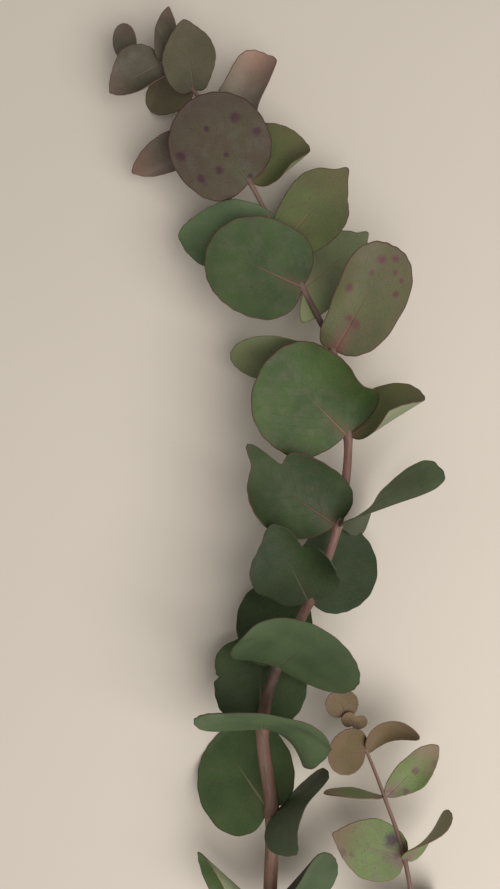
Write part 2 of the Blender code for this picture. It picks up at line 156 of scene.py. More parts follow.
MAIN_LEAVES = (
    Leaf("n00", 136, 5, -55, 43, 26, left=(60, 70, 60), right=(50, 80, 80), tip=1.5),
    Leaf("n00", 50, 5, 35, 38, 36, left=(60, 70, 70)),
    Leaf("n01", 133, -36, 0, 49, 49, notch=0.2),
    Leaf(
        "n01",
        *(50, 50, 80, 37, 50),
        left=(60, 100, 120),
        right=(0, 0, 20),
        lobes=((-40, -0.22, 30), (-105, -0.15, 40), (60, -0.08, 30)),
    ),
    Leaf(
        "n02",
        *(92, 64, 0, 44, 62),
        left=(5, 5, 5),
        right=(110, 45, 15),
        tip=1.6,
        seat=1,
        lobes=((30, -0.25, 25), (72, 0.04, 20), (125, 0.08, 25), (-85, -0.06, 40)),
        flicks=((-65, -5.5, 40),),
    ),
    Leaf("n02", 92, -22, 0, 43, 43, lobes=((-54, 0.08, 16),)),
    Leaf("n03", 55, 48, 8, 46, 60, left=(60, 50, 20), right=(10, 15, 20), seat=1),
    Leaf("n03", 90, -30, 0, 42, 35),
    Leaf(
        "n04",
        *(116, 25, 0, 43, 46),
        left=(40, 40, 20),
        right=(20, 80, 100),
        base=(1.5, 3.2),
        tip=1.6,
        seat=1,
        lobes=((0, 0.15, 12), (40, -0.38, 16), (118, -0.18, 20), (-30, -0.06, 20), (-110, -0.22, 35)),
    ),
    Leaf("n04", 49, -20, 0, 42, 38, base=(2.0, 2.0)),
    Leaf(
        "n05",
        *(146, 18, 0, 51, 41),
        hook=10,
        left=(60, 45, 60),
        right=(10, 30, 30),
        base=(1.9, 2.8),
        seat=1,
        lobes=((16, 0.42, 9), (36, -0.25, 10), (-115, -0.16, 35), (-155, -0.12, 25)),
    ),
    Leaf(
        "n05",
        *(31, 5, -100, 53, 34),
        twist=40,
        left=(-50, 0, 0),
        tip=3.0,
        lobes=((-118, 0.35, 22),),
    ),
    Leaf(
        "n06",
        *(136, 15, 0, 53, 55),
        right=(0, 75, 55, 30),
        base=(2.3, 6.0),
        seat=1,
        lobes=((74, -0.12, 30), (118, -0.15, 22), (-110, -0.04, 35), (-156, -0.08, 30)),
    ),
    Leaf("n06", 32, 0, -50, 39, 40, left=(0, 0, 0), right=(80, 90, 90), base=(2.3, 1.3)),
    Leaf(
        "n07",
        *(61, 20, 0, 55, 35),
        left=(0, 70, 20),
        base=(2.2, 2.5),
        tip=2.4,
        seat=1,
        lobes=((-118, -0.26, 24), (150, -0.08, 30)),
    ),
    Leaf("n07", 182, -10, -55, 48, 35, base=(1.5, 1.5), lobes=((115, -0.25, 35),)),
    Leaf("n08", 158, 12, 0, 48, 45, base=(2.3, 3.0), seat=1),
    Leaf(
        "n08",
        *(44, -38, 0, 58, 30),
        notch=0.2,
        base=(2.3, 3.5),
        point=0.15,
        lobes=((150, 0.22, 22),),
        flicks=((150, -2, 25),),
    ),
    Leaf(
        "n09",
        *(50, -5, 0, 44, 33),
        right=(20, 10, 10),
        point=0.2,
        lobes=((40, -0.12, 20), (-110, -0.18, 40)),
    ),
    Leaf("n09", 173, -5, 0, 49, 36, left=(30, 50, 40), right=(0, 30, -10), tip=1.5),
    Leaf("n10", 134, 15, 0, 45, 46, right=(5, 20, 15), base=(2.3, 2.6), seat=1),
    Leaf(
        "n10",
        *(40, 0, -10, 32, 40),
        left=(0, 0, 0),
        right=(100, 110, 110),
        base=(2.3, 1.3),
        lobes=((100, -0.15, 40),),
    ),
    Leaf(
        "n11",
        *(61, 0, -20, 44, 28),
        left=(100, 100, 90),
        right=(0, 50, 60),
        base=(2.3, 3.0),
        tip=3.0,
        lobes=((-90, -0.22, 50),),
    ),
    Leaf(
        "n11",
        *(200, -10, -50, 46, 21),
        left=(100, 100, 100),
        tip=1.5,
        lobes=((90, 0.25, 45), (-90, -0.3, 50)),
    ),
    Leaf(
        "n12",
        *(98, 15, 0, 33, 25),
        tip=1.35,
        notch=0.15,
        seat=1,
        lobes=((60, 0.1, 25), (130, -0.15, 30)),
    ),
    Leaf("n12", 163, -42, 0, 34, 23),
    Leaf("n13", 83, 5, 50, 26, 15, tip=1.3),
    Leaf(
        "n13",
        *(212, 5, 0, 30, 28),
        left=(90, 90, 60),
        right=(40, 60, 60),
        tip=1.2,
        seat=1,
        lobes=((-60, -0.25, 45),),
    ),
    Leaf("n14", 92, 5, 0, 16, 11),
    Leaf("n14", 280, -10, 60, 9, 6),
)

SIDE_LEAVES = (
    Leaf("s00", 138, 5, 0, 21, 20),
    Leaf("s00", -30, -60, 0, 33, 28),
    Leaf("s01", 162, -5, 0, 34, 28, tip=1.4, point=0.05),
    Leaf("s01", 48, 5, 40, 31, 22, twist=60),
    Leaf("s02", 176, 0, 100, 28, 22, base=(1.4, 1.4)),
    Leaf(
        "s02",
        *(46, 5, 0, 35, 17),
        left=(60, 50, 20),
        right=(60, 50, 30),
        base=(1.3, 1.3),
        tip=1.5,
    ),
    Leaf("s03", 13, 5, 45, 30, 20, bend=120),
    Leaf("s03", 172, 28, 0, 21, 21),
    Leaf("s04", 125, 5, 0, 7, 7),
    Leaf("s04", 25, 5, 0, 7, 6),
    Leaf("s05", 100, 0, 0, 13, 15),
    Leaf("s05", -60, -20, 60, 6, 5),
)

# How a leaf looks beyond its solid form: its paint, how many millimetres its margin waves up and
# down, how light its paint is against its finish, and where an insect has eaten into its edge:
# the direction, how deep and how wide. The lightness is chosen for this light, so that the leaf
# looks much as it does in the photograph. Part of it is painted light and shade, which makes
# leaves that stand edge-on to the lamp or lie in the shadow of other leaves lighter. The rest is
# a true difference of colour.
Look = namedtuple("Look", "finish wave tone bite", defaults=(0.5, 1.0, None))

# The lightness of each look is partly painted light and shade.
LOOKS = {
    "n00_a": Look("green", tone=1.25),
    "n00_b": Look("waxy", tone=0.9),
    "n01_a": Look("deep", tone=1.5),
    "n01_b": Look("folded", tone=1.15),
    "n02_a": Look("waxy", tone=1.25),
    "n02_b": Look("deep", tone=1.05, bite=(-82, 0.09, 6)),
    "n03_a": Look("waxy"),
    "n03_b": Look("deep"),
    "n04_a": Look("deep", tone=0.7),
    "n04_b": Look("deep", tone=0.7),
    "n05_a": Look("green", tone=0.6),
    "n05_b": Look("waxy", tone=1.7),
    "n06_a": Look("green", tone=1.05),
    "n06_b": Look("olive", tone=1.55),
    "n07_a": Look("flushed"),
    "n07_b": Look("pale", tone=1.6),
    "n08_a": Look("green", wave=0.8, tone=0.84),
    "n08_b": Look("pale", tone=1.6),
    "n09_a": Look("olive", tone=1.3),
    "n09_b": Look("waxy", wave=1.2, tone=1.25),
    "n10_a": Look("spotted", tone=0.98),
    "n10_b": Look("olive", tone=1.25),
    "n11_a": Look("rosy", tone=1.55),
    "n11_b": Look("rosy", tone=0.8),
    "n12_a": Look("young", tone=1.1),
    "n12_b": Look("young", tone=1.6),
    "n13_a": Look("mauve", tone=1.15),
    "n13_b": Look("mauve", tone=1.1),
    "n14_a": Look("mauve", wave=0.2),
    "n14_b": Look("mauve", wave=0.1),
    "s00_a": Look("shoot"),
    "s00_b": Look("shoot"),
    "s01_a": Look("stained_shoot"),
    "s01_b": Look("shoot", tone=1.1),
    "s02_a": Look("shoot", tone=1.5),
    "s02_b": Look("shoot", tone=1.15),
    "s03_a": Look("tan", tone=0.9),
    "s03_b": Look("tan", tone=0.8),
    "s04_a": Look("tan", wave=0.1),
    "s04_b": Look("tan", wave=0.1),
    "s05_a": Look("tan", wave=0.2, tone=0.85),
    "s05_b": Look("tan", wave=0.1),
}

# One paint for leaves of an age and place. blade and shade are the two greens that mottle the
# upper face, under the lower face, vein the midrib and side veins, flush what reddens the foot,
# and margin the rim. tip tints the far end and spot the blotches, on the paints that have them.
# The shares say how much flush, veins, rim, waxy bloom, tip and scattered spots show. stains are
# single blotches: how far along the midrib, how far to the right of it, and how wide.
Finish = namedtuple(
    "Finish",
    "blade shade under vein flush margin flush_share vein_share rim_share bloom_share "
    "tip tip_share spot spot_share stains",
    defaults=(None, 0.0, None, 0.0, ()),
)

FINISHES = {
    "deep": Finish(
        blade=(0.037, 0.064, 0.017),
        shade=(0.023, 0.044, 0.010),
        under=(0.13, 0.16, 0.09),
        vein=(0.13, 0.13, 0.07),
        flush=(0.09, 0.06, 0.035),
        margin=(0.035, 0.030, 0.015),
        flush_share=0.3,
        vein_share=0.85,
        rim_share=0.5,
        bloom_share=0.08,
    ),
    "waxy": Finish(
        blade=(0.068, 0.104, 0.038),
        shade=(0.044, 0.071, 0.025),
        under=(0.038, 0.045, 0.025),
        vein=(0.11, 0.12, 0.07),
        flush=(0.10, 0.075, 0.04),
        margin=(0.05, 0.030, 0.020),
        flush_share=0.2,
        vein_share=0.35,
        rim_share=0.5,
        bloom_share=0.22,
    ),
    "green": Finish(
        blade=(0.047, 0.087, 0.017),
        shade=(0.030, 0.061, 0.011),
        under=(0.21, 0.23, 0.13),
        vein=(0.20, 0.105, 0.075),
        flush=(0.18, 0.09, 0.06),
        margin=(0.075, 0.022, 0.018),
        spot=(0.07, 0.03, 0.03),
        flush_share=0.35,
        vein_share=0.75,
        rim_share=0.8,
        spot_share=0.05,
        bloom_share=0.08,
    ),
    "pale": Finish(
        blade=(0.105, 0.118, 0.053),
        shade=(0.075, 0.090, 0.037),
        under=(0.18, 0.19, 0.12),
        vein=(0.15, 0.12, 0.08),
        flush=(0.14, 0.09, 0.06),
        margin=(0.05, 0.03, 0.02),
        flush_share=0.3,
        vein_share=0.5,
        rim_share=0.5,
        bloom_share=0.15,
    ),
    "flushed": Finish(
        blade=(0.105, 0.116, 0.046),
        shade=(0.086, 0.090, 0.036),
        under=(0.20, 0.19, 0.12),
        vein=(0.22, 0.095, 0.075),
        flush=(0.19, 0.075, 0.065),
        tip=(0.13, 0.085, 0.06),
        margin=(0.085, 0.025, 0.025),
        spot=(0.12, 0.045, 0.05),
        flush_share=0.8,
        tip_share=0.35,
        vein_share=0.8,
        rim_share=0.95,
        spot_share=0.3,
        bloom_share=0.1,
        stains=(
            (16, 2, 2.3),
            (17, -2, 1.5),
            (29, -9, 2.2),
            (39, -3, 1.4),
            (46, -2, 2.1),
            (49, 3, 1.6),
            (36, 11, 1.5),
            (44, 6, 1.2),
            (42, 10, 1.2),
        ),
    ),
    "olive": Finish(
        blade=(0.082, 0.102, 0.032),
        shade=(0.062, 0.076, 0.024),
        under=(0.14, 0.155, 0.09),
        vein=(0.16, 0.10, 0.065),
        flush=(0.14, 0.07, 0.045),
        tip=(0.13, 0.07, 0.05),
        margin=(0.075, 0.022, 0.018),
        spot=(0.06, 0.022, 0.022),
        flush_share=0.45,
        tip_share=0.3,
        vein_share=0.55,
        rim_share=0.9,
        spot_share=0.2,
        bloom_share=0.06,
    ),
    "spotted": Finish(
        blade=(0.066, 0.052, 0.024),
        shade=(0.068, 0.042, 0.026),
        under=(0.16, 0.13, 0.09),
        vein=(0.14, 0.085, 0.06),
        flush=(0.070, 0.078, 0.038),
        tip=(0.048, 0.028, 0.018),
        margin=(0.055, 0.014, 0.014),
        spot=(0.042, 0.008, 0.020),
        flush_share=0.75,
        tip_share=0.6,
        vein_share=0.45,
        rim_share=1.0,
        spot_share=0.3,
        bloom_share=0.06,
        stains=(
            (13, -7, 1.9),
            (16, -16, 1.9),
            (29, -16, 2.4),
            (14, 17, 2.0),
            (25, 14, 2.4),
            (30, 1, 1.4),
            (2, 2, 1.2),
            (16, 0, 1.2),
        ),
    ),
    "young": Finish(
        blade=(0.084, 0.068, 0.036),
        shade=(0.060, 0.054, 0.025),
        under=(0.15, 0.13, 0.09),
        vein=(0.14, 0.10, 0.07),
        flush=(0.06, 0.055, 0.03),
        tip=(0.12, 0.082, 0.055),
        margin=(0.07, 0.030, 0.022),
        spot=(0.05, 0.02, 0.02),
        flush_share=0.4,
        tip_share=0.5,
        vein_share=0.45,
        rim_share=0.8,
        spot_share=0.12,
        bloom_share=0.06,
    ),
    "mauve": Finish(
        blade=(0.074, 0.058, 0.037),
        shade=(0.058, 0.047, 0.029),
        under=(0.17, 0.14, 0.11),
        vein=(0.17, 0.12, 0.09),
        flush=(0.13, 0.115, 0.085),
        tip=(0.120, 0.066, 0.050),
        margin=(0.09, 0.035, 0.03),
        spot=(0.05, 0.02, 0.022),
        flush_share=0.5,
        tip_share=0.75,
        vein_share=0.4,
        rim_share=0.8,
        spot_share=0.15,
        bloom_share=0.12,
    ),
    "shoot": Finish(
        blade=(0.150, 0.205, 0.072),
        shade=(0.120, 0.160, 0.056),
        under=(0.22, 0.21, 0.12),
        vein=(0.21, 0.18, 0.10),
        flush=(0.17, 0.09, 0.10),
        tip=(0.20, 0.105, 0.08),
        margin=(0.15, 0.065, 0.045),
        spot=(0.11, 0.05, 0.06),
        flush_share=0.9,
        tip_share=0.75,
        vein_share=0.5,
        rim_share=0.8,
        spot_share=0.45,
        bloom_share=0.05,
    ),
    "tan": Finish(
        blade=(0.185, 0.125, 0.060),
        shade=(0.140, 0.098, 0.038),
        under=(0.20, 0.15, 0.10),
        vein=(0.23, 0.155, 0.10),
        flush=(0.20, 0.11, 0.08),
        tip=(0.19, 0.10, 0.07),
        margin=(0.14, 0.065, 0.04),
        spot=(0.12, 0.06, 0.04),
        flush_share=0.5,
        tip_share=0.4,
        vein_share=0.4,
        rim_share=0.7,
        spot_share=0.35,
        bloom_share=0.05,
    ),
}

# Each of these is another finish with a few colours or shares changed.
FINISHES["folded"] = FINISHES["deep"]._replace(
    blade=(0.038, 0.060, 0.019),
    shade=(0.020, 0.035, 0.009),
    under=(0.038, 0.056, 0.024),
    vein_share=0.5,
    bloom_share=0.05,
)
FINISHES["rosy"] = FINISHES["mauve"]._replace(
    blade=(0.150, 0.120, 0.092),
    shade=(0.125, 0.100, 0.076),
    flush=(0.15, 0.14, 0.10),
    tip=(0.250, 0.135, 0.100),
    spot=(0.12, 0.06, 0.06),
)
FINISHES["stained_shoot"] = FINISHES["shoot"]._replace(
    spot=(0.07, 0.035, 0.06),
    stains=((8, 7, 3.4),),
)

BLOOM_COLOUR = (0.15, 0.20, 0.14)

# How many broad patches, clouds and grains a leaf's paint has to a millimetre.
BROAD_PATCHES = 0.055
CLOUDS = 0.22
GRAIN = 1.6

# Side veins, in millimetres on the flat blade: half the way from one to the next, how much each
# side is shifted, how they lean and bow towards the tip, and how far they stray. The midrib has
# half its width at its foot and near its tip.
HALF_VEIN_SPACING = 3.4
VEIN_SHIFT = 1.3
VEIN_LEAN = 1.05
VEIN_BOW = 0.012
VEIN_STRAY = 5.0
MIDRIB_AT_FOOT = 0.7
MIDRIB_AT_TIP = 0.12

SHADOW_AND_DARK_BARK = (0.045, 0.028, 0.018)
BARK_STREAK = (0.055, 0.032, 0.022)
BARK_CLOUD = (0.27, 0.19, 0.155)
BARK_SPECK = (0.30, 0.22, 0.17)

# A dark place of the bark stays dark this far to both sides, and has faded out by the second.
# Some of these places are painted shadow.
DARK_REACH = 6
DARK_END = 16

PITH_COLOUR = (0.16, 0.10, 0.05)
WOOD_COLOUR = (0.42, 0.36, 0.22)
WOOD_RAY_COLOUR = (0.25, 0.19, 0.10)
CUT_BARK_COLOUR = (0.13, 0.09, 0.05)

# The studio, in metres and watts.
FLOOR_COLOUR = (0.625, 0.565, 0.488)
FLOOR_SIZE = 6
FLOOR_DROP = 0.0002
LAMP_PLACE = (0.35, -0.25, 0.8)
LAMP_AIM = (0.03, -0.05, 0)
LAMP_SIZE = 0.9
LAMP_POWER = 8.5
LAMP_COLOUR = (1.0, 0.98, 0.95)
WORLD_COLOUR = (1.0, 0.97, 0.94)
WORLD_STRENGTH = 0.36


# Curves, vectors and small sums

def unit(vector):
    return vector / np.linalg.norm(vector, axis=-1, keepdims=True)


def rotate(vectors, axes, angles):
    """Each vector turned by its angle, in radians, about its unit axis."""
    cos = np.cos(angles)[..., None]
    sin = np.sin(angles)[..., None]
    along = np.sum(vectors * axes, axis=-1, keepdims=True)
    return vectors * cos + np.cross(axes, vectors) * sin + axes * along * (1 - cos)


def joint_places(joints):
    return np.array([(j.x, j.y, j.z) for j in joints])


def stem_curve(joints, index, share):
    """Points between joints index and index + 1, on a smooth curve through all of them."""
    places = joint_places(joints)
    start, end = places[index], places[index + 1]
    before = places[index - 1] if index else start * 2 - end
    after = places[index + 2] if index + 2 < len(places) else end * 2 - start
    span = np.linalg.norm(end - start)
    leave = unit(end - before) * span
    arrive = unit(after - start) * span
    t = np.atleast_1d(share)[:, None]
    t2, t3 = t * t, t**3
    return (
        start * (2 * t3 - 3 * t2 + 1)
        + leave * (t3 - 2 * t2 + t)
        + end * (3 * t2 - 2 * t3)
        + arrive * (t3 - t2)
    )


def stem_direction(joints, index):
    """Which way the stem runs through a joint."""
    step = 0.02
    if index + 1 < len(joints):
        near = stem_curve(joints, index, (0, step))
    else:
        near = stem_curve(joints, index - 1, (1 - step, 1))
    return unit(near[1] - near[0])


def wander(angle, seed, waves=(2, 3, 5, 8)):
    """A smooth random number between about -1 and 1 for each angle round a closed outline."""
    draws = np.random.default_rng(seed)
    total = 0
    for count in waves:
        total = total + draws.uniform(0.4, 1.0) * np.sin(count * angle + draws.uniform(0, 7)) / count
    return total


# Leaves

def nearness(angle, direction, spread):
    """1 where an angle in radians meets a direction in degrees, falling to 0 around it."""
    off = np.degrees(angle) - direction
    off = (off + 180) % 360 - 180
    return np.exp(-((off / spread) ** 2))


def unevenness(angle, seed, off_base):
    """Slow waves and a fine ripple of an outline, in shares of its reach."""
    ripple = np.sin(FINE_TEETH * angle + 3 * np.sin(2 * angle + seed))
    uneven = SLOW_UNEVENNESS * wander(angle, seed) + FINE_UNEVENNESS * ripple
    return uneven * np.clip((off_base - EVEN_AT_BASE) / EVEN_FADE, 0, 1)


def outline_reach(leaf, bite, angle, seed):
    """How far the flat outline reaches from the blade's middle, 1 being a plain ellipse."""
    foot = np.where(np.sin(angle) > 0, leaf.base[1], leaf.base[0])
    fullness = np.where(np.cos(angle) > 0, leaf.tip, foot)
    reach = np.abs(np.cos(angle)) ** fullness + np.abs(np.sin(angle)) ** fullness
    reach = reach ** (-1 / fullness)
    off_tip = np.abs(np.degrees(np.arctan2(np.sin(angle), np.cos(angle))))
    off_base = 180 - off_tip
    reach = reach * (1 + leaf.point * np.exp(-((off_tip / TIP_POINT_SPREAD) ** 2)))
    reach = reach * (1 - leaf.notch * np.exp(-((off_base / BASE_NOTCH_SPREAD) ** 2)))
    for direction, gain, spread in leaf.lobes:
        reach = reach * (1 + gain * nearness(angle, direction, spread))
    reach = reach * (1 + unevenness(angle, seed, off_base))
    if bite:
        direction, depth, spread = bite
        ragged = 1 + BITE_RAGGEDNESS * np.sin(angle * BITE_TEETH)
        reach = reach * (1 - depth * ragged * nearness(angle, direction, spread))
    return reach


def leaf_axes(leaf):
    """The midrib's chord, the blade's upper side and its right-hand side, as unit vectors."""
    heading, rise, roll = np.radians((leaf.heading, leaf.rise, leaf.roll))
    flat = math.cos(rise)
    chord = np.array((flat * math.cos(heading), flat * math.sin(heading), math.sin(rise)))
    level_side = np.array((math.sin(heading), -math.cos(heading), 0))
    up = rotate(np.cross(level_side, chord), chord, roll)
    return chord, up, np.cross(chord, up)


def midrib_angle(leaf, share):
    """The midrib's slope against its chord, in radians, at a share of its length."""
    late = np.clip((share - HOOK_START) / (1 - HOOK_START), 0, 1)
    return np.radians(leaf.bend * (share - 0.5) + leaf.hook * late * late * (3 - 2 * late))


def midrib_place(leaf, along):
    """How far along the chord, and how far above it, each length of midrib reaches."""
    share = np.linspace(-0.5, 1.5, 2 * MIDRIB_STEPS + 1)
    middle = midrib_angle(leaf, (share[1:] + share[:-1]) / 2)
    step = leaf.length / MIDRIB_STEPS
    ahead = np.concatenate(((0,), np.cumsum(np.cos(middle)))) * step
    above = np.concatenate(((0,), np.cumsum(np.sin(middle)))) * step
    foot = MIDRIB_STEPS // 2
    lengths = share * leaf.length
    return (
        np.interp(along, lengths, ahead - ahead[foot]),
        np.interp(along, lengths, above - above[foot]),
    )


def pressed(height):
    """A blade that would reach below the surface lies flat on it instead."""
    lift = height - SOLID_HALF_THICKNESS
    eased = SOLID_HALF_THICKNESS + (lift + PRESS_DEPTH) ** 2 / (4 * PRESS_DEPTH)
    low = np.where(lift < -PRESS_DEPTH, SOLID_HALF_THICKNESS, eased)
    return np.where(lift > PRESS_DEPTH, height, low)


def curl_at(values, share):
    """A curl between the ones given for the base, the middle and the tip of a half blade."""
    values = np.array(values, float)
    place = np.clip(share, 0, 1) * (len(values) - 1)
    index = np.minimum(place.astype(int), len(values) - 2)
    ease = (1 - np.cos(np.pi * (place - index))) / 2
    return np.radians(values[index] + (values[index + 1] - values[index]) * ease)


def leaf_base(leaf, joints):
    """Where the midrib starts: just inside the stem."""
    index = [j.name for j in joints].index(leaf.node)
    joint = joints[index]
    chord = leaf_axes(leaf)[0]
    stem = stem_direction(joints, index)
    outward = unit(chord - stem * chord.dot(stem))
    top = unit(UP - stem * UP.dot(stem))
    outward = unit(outward + (top - outward) * leaf.seat)
    depth = max(LEAST_ROOT * joint.radius, joint.radius - ROOT_DEPTH)
    return np.array((joint.x, joint.y, joint.z)) + outward * depth


def flick_lift(leaf, along, across):
    """How far the flicks raise points of the blade: most at the margin, nothing inside."""
    ahead = along / (leaf.length / 2) - 1 + leaf.notch
    right = across / (leaf.width / 2)
    lift = 0.0
    for direction, height, spread in leaf.flicks:
        away = nearness(np.arctan2(right, ahead), direction, spread)
        lift = lift + height * np.hypot(ahead, right) ** 4 * away
    return lift


def blade_points(leaf, base, along, across):
    """Where points of the flat blade go once the leaf is bent, curled and twisted."""
    chord, up, side = leaf_axes(leaf)
    share = along / leaf.length
    ahead, above = midrib_place(leaf, along)
    slope = midrib_angle(leaf, share)[:, None]
    ahead_here = chord * np.cos(slope) + up * np.sin(slope)
    up_here = up * np.cos(slope) - chord * np.sin(slope)
    turn = np.radians(leaf.twist) * share
    up_here = rotate(up_here, ahead_here, turn)
    side_here = rotate(side + 0 * up_here, ahead_here, turn)
    curl = np.where(across > 0, curl_at(leaf.right, share), curl_at(leaf.left, share))
    angle = curl * np.abs(across) / (leaf.width / 2)
    tiny = 1e-4
    safe = np.where(np.abs(angle) < tiny, tiny, angle)
    out = np.abs(across) * np.sin(safe) / safe
    lift = np.abs(across) * (1 - np.cos(safe)) / safe + flick_lift(leaf, along, across)
    place = base + chord * ahead[:, None] + up * above[:, None]
    place = place + side_here * (np.sign(across) * out)[:, None] + up_here * lift[:, None]
    place[:, 2] = pressed(place[:, 2])
    return place


def blade_normals(leaf, base, along, across):
    """Which way the upper face looks at points of the blade."""
    step = 0.2
    ahead = blade_points(leaf, base, along + step, across)
    ahead -= blade_points(leaf, base, along - step, across)
    right = blade_points(leaf, base, along, across + step)
    right -= blade_points(leaf, base, along, across - step)
    return unit(np.cross(right, ahead))


def blade_grid(leaf, bite, seed):
    """The blade's middle and its rings of points: share of the way out, angle, and the flat
    distances along the midrib and to its right."""
    angles = math.tau * np.arange(OUTLINE_SIDES) / OUTLINE_SIDES
    outline = outline_reach(leaf, bite, angles, seed)
    ring = np.repeat(RINGS, OUTLINE_SIDES)
    angle = np.tile(angles, len(RINGS))
    reach = ring * np.tile(outline, len(RINGS))
    ring = np.concatenate(((0,), ring))
    angle = np.concatenate(((0,), angle))
    reach = np.concatenate(((0,), reach))
    along = leaf.length / 2 * (1 - leaf.notch + reach * np.cos(angle))
    across = leaf.width / 2 * reach * np.sin(angle)
    return ring, angle, along, across


def face_list(corners, flip):
    """Rows of corner numbers as faces, the other way round where flip is set."""
    return [face[::-1] if flip else face for face in corners.tolist()]


def blade_faces():
    """Both sides of a blade, which share the points of its rim."""
    count = 1 + len(RINGS) * OUTLINE_SIDES
    inside = count - OUTLINE_SIDES
    upper = np.arange(count)
    lower = np.concatenate((np.arange(inside) + count, np.arange(inside, count)))
    around = np.arange(OUTLINE_SIDES)
    after = (around + 1) % OUTLINE_SIDES
    faces = []
    for index, flip in ((upper, False), (lower, True)):
        fan = np.stack((index[0] + 0 * around, index[1 + after], index[1 + around]), 1)
        faces += face_list(fan, flip)
        for row in range(len(RINGS) - 1):
            inner = 1 + row * OUTLINE_SIDES
            outer = inner + OUTLINE_SIDES
            corners = (inner + around, inner + after, outer + after, outer + around)
            faces += face_list(np.stack([index[c] for c in corners], 1), flip)
    return faces


def store_paint_numbers(mesh, leaf, look, seed, ring, along, across):
    """What the leaf materials read: places on the blade, which face it is, and a lightness that is
    partly painted light and shade.
    """
    inside = len(ring) - OUTLINE_SIDES
    both = np.concatenate((np.arange(len(ring)), np.arange(inside)))
    share = np.stack((along / leaf.length, across / (leaf.width / 2), ring), 1)
    flat = np.stack((along, across, np.full(len(ring), seed * PATTERN_SHIFT)), 1)
    upper = np.ones(len(both))
    upper[inside:len(ring)] = 0.5
    upper[len(ring):] = 0
    store(mesh, "share", "FLOAT_VECTOR", share[both])
    store(mesh, "flat", "FLOAT_VECTOR", flat[both])
    store(mesh, "upper", "FLOAT", upper)
    store(mesh, "tone", "FLOAT", np.full(len(both), look.tone))


def add_leaf(name, leaf, look, joints, seed):
    """One leaf as a closed blade with a waved margin and a rounded edge."""
    base = leaf_base(leaf, joints)
    ring, angle, along, across = blade_grid(leaf, look.bite, seed)
    middle = blade_points(leaf, base, along, across)
    normal = blade_normals(leaf, base, along, across)
    wave = look.wave * ring**3 * wander(angle, seed + WAVE_SEED, WAVE_COUNTS)
    wave *= np.clip((middle[:, 2] - STILL_HEIGHT) / STILL_FADE, 0, 1)
    middle = middle + normal * wave[:, None]
    from_edge = (1 - ring) * leaf.width / 2
    round_off = np.clip(from_edge / HALF_THICKNESS, 0, 1)
    half = HALF_THICKNESS * np.sqrt(1 - (1 - round_off) ** 2)
    upper = middle + normal * half[:, None]
    lower = middle - normal * half[:, None]
    points = np.vstack((upper, lower[:-OUTLINE_SIDES]))
    mesh = bpy.data.meshes.new(name)
    mesh.from_pydata((points * MM + ORIGIN).tolist(), [], blade_faces())
    store_paint_numbers(mesh, leaf, look, seed, ring, along, across)
    mesh.shade_smooth()
    return add_object(name, mesh)


def store(mesh, name, kind, values):
    """Keeps a number or a vector for each point of the mesh, under a name."""
    layer = mesh.attributes.new(name, kind, "POINT")
    field = "vector" if kind == "FLOAT_VECTOR" else "value"
    layer.data.foreach_set(field, np.asarray(values, np.float32).ravel())


def add_object(name, mesh):
    piece = bpy.data.objects.new(name, mesh)
    bpy.context.scene.collection.objects.link(piece)
    return piece


# Stems

def stem_samples(joints):
    """Centres, radii and distances along a fine stem, thicker where the leaves sit."""
    centres, radii = [], []
    last = len(joints) - 2
    for index in range(last + 1):
        share = np.arange(STEM_STEPS) / STEM_STEPS
        if index == last:
            share = np.append(share, 1.0)
        radius = joints[index].radius + (joints[index + 1].radius - joints[index].radius) * share
        near = np.exp(-((np.minimum(share, 1 - share) / SWELLING_SPREAD) ** 2))
        near = np.where((share < 0.5) & (index == 0), 0, near)
        near = np.where((share > 0.5) & (index == last), 0, near)
        centres.append(stem_curve(joints, index, share))
        radii.append(radius * (1 + NODE_SWELLING * near))
    centres = np.vstack(centres)
    lengths = np.linalg.norm(np.diff(centres, axis=0), axis=1)
    return centres, np.concatenate(radii), np.concatenate(((0,), np.cumsum(lengths)))


def stem_sides(centres):
    """Two directions across the stem at each centre, turning no more than the stem does."""
    last = len(centres) - 1
    side = None
    pairs = []
    for index in range(len(centres)):
        ahead = unit(centres[min(index + 1, last)] - centres[max(index - 1, 0)])
        side = np.cross(ahead, UP) if side is None else side - ahead * side.dot(ahead)
        side = unit(side)
        pairs.append((side, np.cross(ahead, side)))
    return pairs


